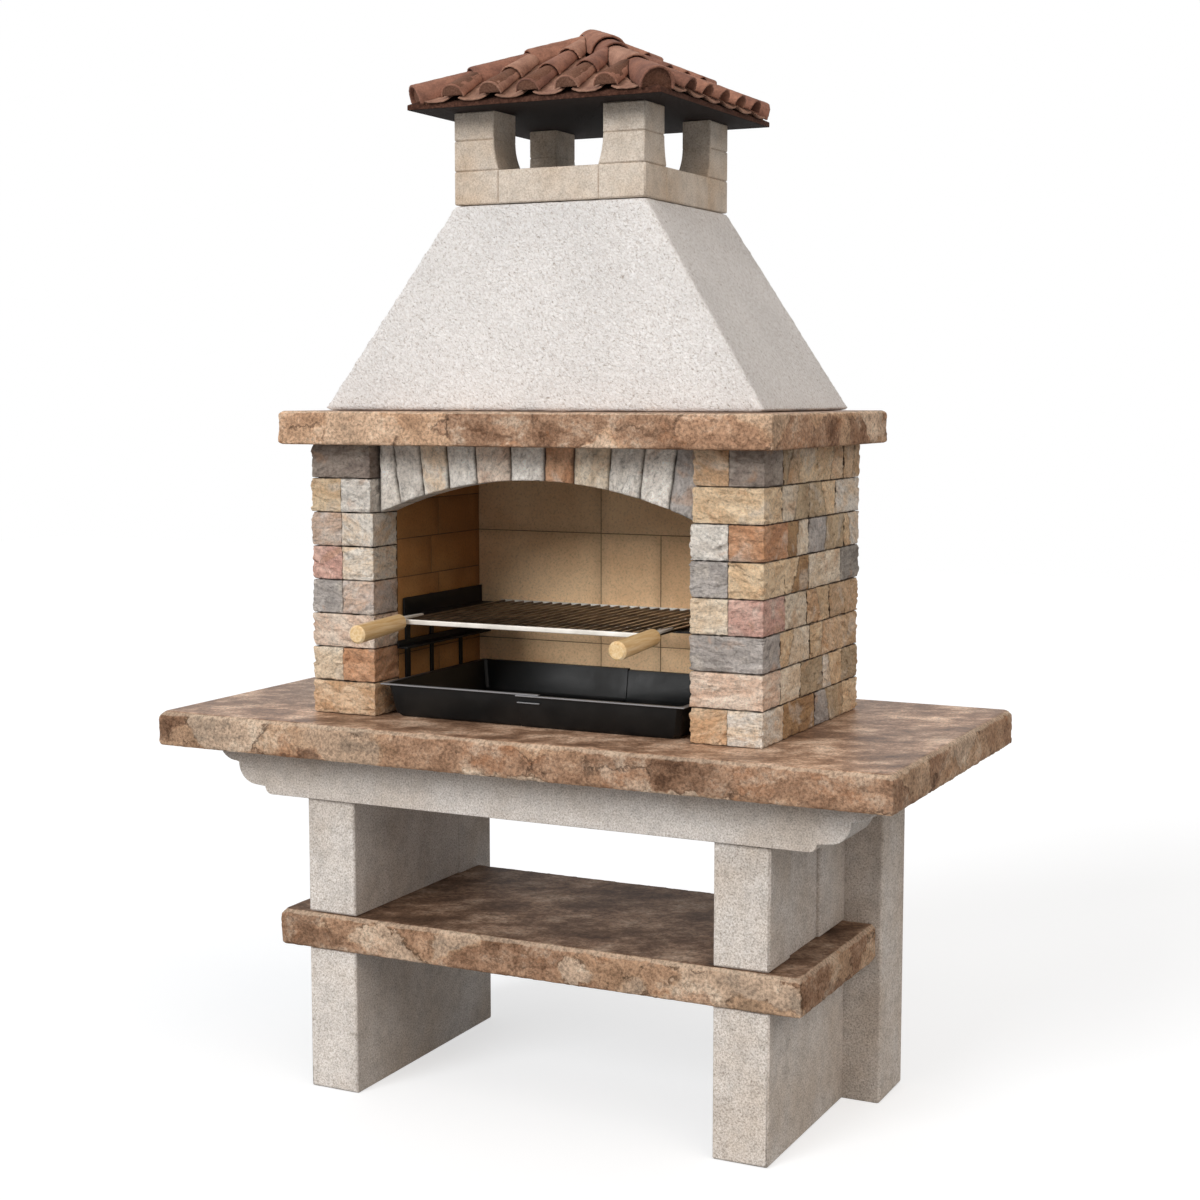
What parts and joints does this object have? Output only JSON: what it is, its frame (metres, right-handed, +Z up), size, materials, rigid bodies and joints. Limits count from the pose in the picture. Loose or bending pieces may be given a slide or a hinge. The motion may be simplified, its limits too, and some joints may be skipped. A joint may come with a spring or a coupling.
{
  "type": "masonry barbecue",
  "caption": "Free-standing masonry barbecue: concrete legs, stone shelf and worktop, stone-clad firebox with an arch, slide-out grill and charcoal tray, rendered hood, tiled chimney crown",
  "frame": {"origin": "on the ground under the middle of the whole outline, handles included", "axes": "+Z up, front towards -Y, +X to the right of someone facing the front"},
  "size_m": [1.6, 0.8486, 2.2016],
  "materials": {
    "leg_concrete": "granular greige concrete, sawn faces",
    "slab_stone": "mottled brown stone, honed top, rock-faced edges",
    "wall_stone": "rock-faced natural stone in mixed tints",
    "firebrick": "matt tan firebrick",
    "roughcast": "white roughcast render",
    "crown_stone": "beige cast stone, finely pitted",
    "roof_clay": "muted brown clay tile",
    "black_steel": "satin black paint",
    "grill_steel": "heat-darkened steel rod",
    "bright_steel": "bright rolled steel",
    "grip_wood": "clear-varnished beech",
    "tray_enamel": "satin black enamel on sheet steel"
  },
  "bodies": {
    "masonry": {"left_lower_panel": "leg_concrete", "right_lower_panel": "leg_concrete", "left_rear_post": "leg_concrete", "right_rear_post": "leg_concrete", "left_front_block": "leg_concrete", "right_front_block": "leg_concrete", "left_filler_panel": "leg_concrete", "right_filler_panel": "leg_concrete", "left_back_block": "leg_concrete", "right_back_block": "leg_concrete", "worktop": "slab_stone", "shelf": "slab_stone", "mantel": "slab_stone", "front_lintel": "leg_concrete", "left_pillar_stones": "wall_stone", "right_pillar_stones": "wall_stone", "left_side_stones": "wall_stone", "right_side_stones": "wall_stone", "arch_voussoirs": "wall_stone", "left_firebricks": "firebrick", "right_firebricks": "firebrick", "back_firebricks": "firebrick", "rear_panels": "leg_concrete", "hood": "roughcast", "crown_corner_blocks": "crown_stone", "crown_middle_blocks": "crown_stone", "crown_lower_posts": "crown_stone", "crown_upper_posts": "crown_stone", "roof_slab": "roof_clay", "front_cover_tiles": "roof_clay", "right_cover_tiles": "roof_clay", "back_cover_tiles": "roof_clay", "left_cover_tiles": "roof_clay", "front_pan_tiles": "roof_clay", "right_pan_tiles": "roof_clay", "back_pan_tiles": "roof_clay", "left_pan_tiles": "roof_clay", "front_right_hip_tiles": "roof_clay", "back_right_hip_tiles": "roof_clay", "back_left_hip_tiles": "roof_clay", "front_left_hip_tiles": "roof_clay", "apex_tile": "roof_clay", "left_rack": "black_steel", "right_rack": "black_steel"},
    "grill": {"grill_front_bar": "bright_steel", "grill_rear_bar": "bright_steel", "grill_bars": "grill_steel", "grill_cross_rods": "grill_steel", "left_handle_tang": "bright_steel", "right_handle_tang": "bright_steel", "left_handle_grip": "grip_wood", "right_handle_grip": "grip_wood"},
    "tray": {"tray_right_half": "tray_enamel", "tray_pull_lip": "tray_enamel"},
    "tray_extension": {"tray_left_half": "tray_enamel"}
  },
  "joints": [
    {"name": "grill_slide", "type": "slide", "parent": "masonry", "child": "grill", "axis": [0, -1, 0], "range_m": [0, 0.25]},
    {"name": "tray_slide", "type": "slide", "parent": "masonry", "child": "tray", "axis": [0, -1, 0], "range_m": [0, 0.25]},
    {"name": "tray_extend", "type": "slide", "parent": "tray", "child": "tray_extension", "axis": [1, 0, 0], "range_m": [0, 0.12]}
  ]
}
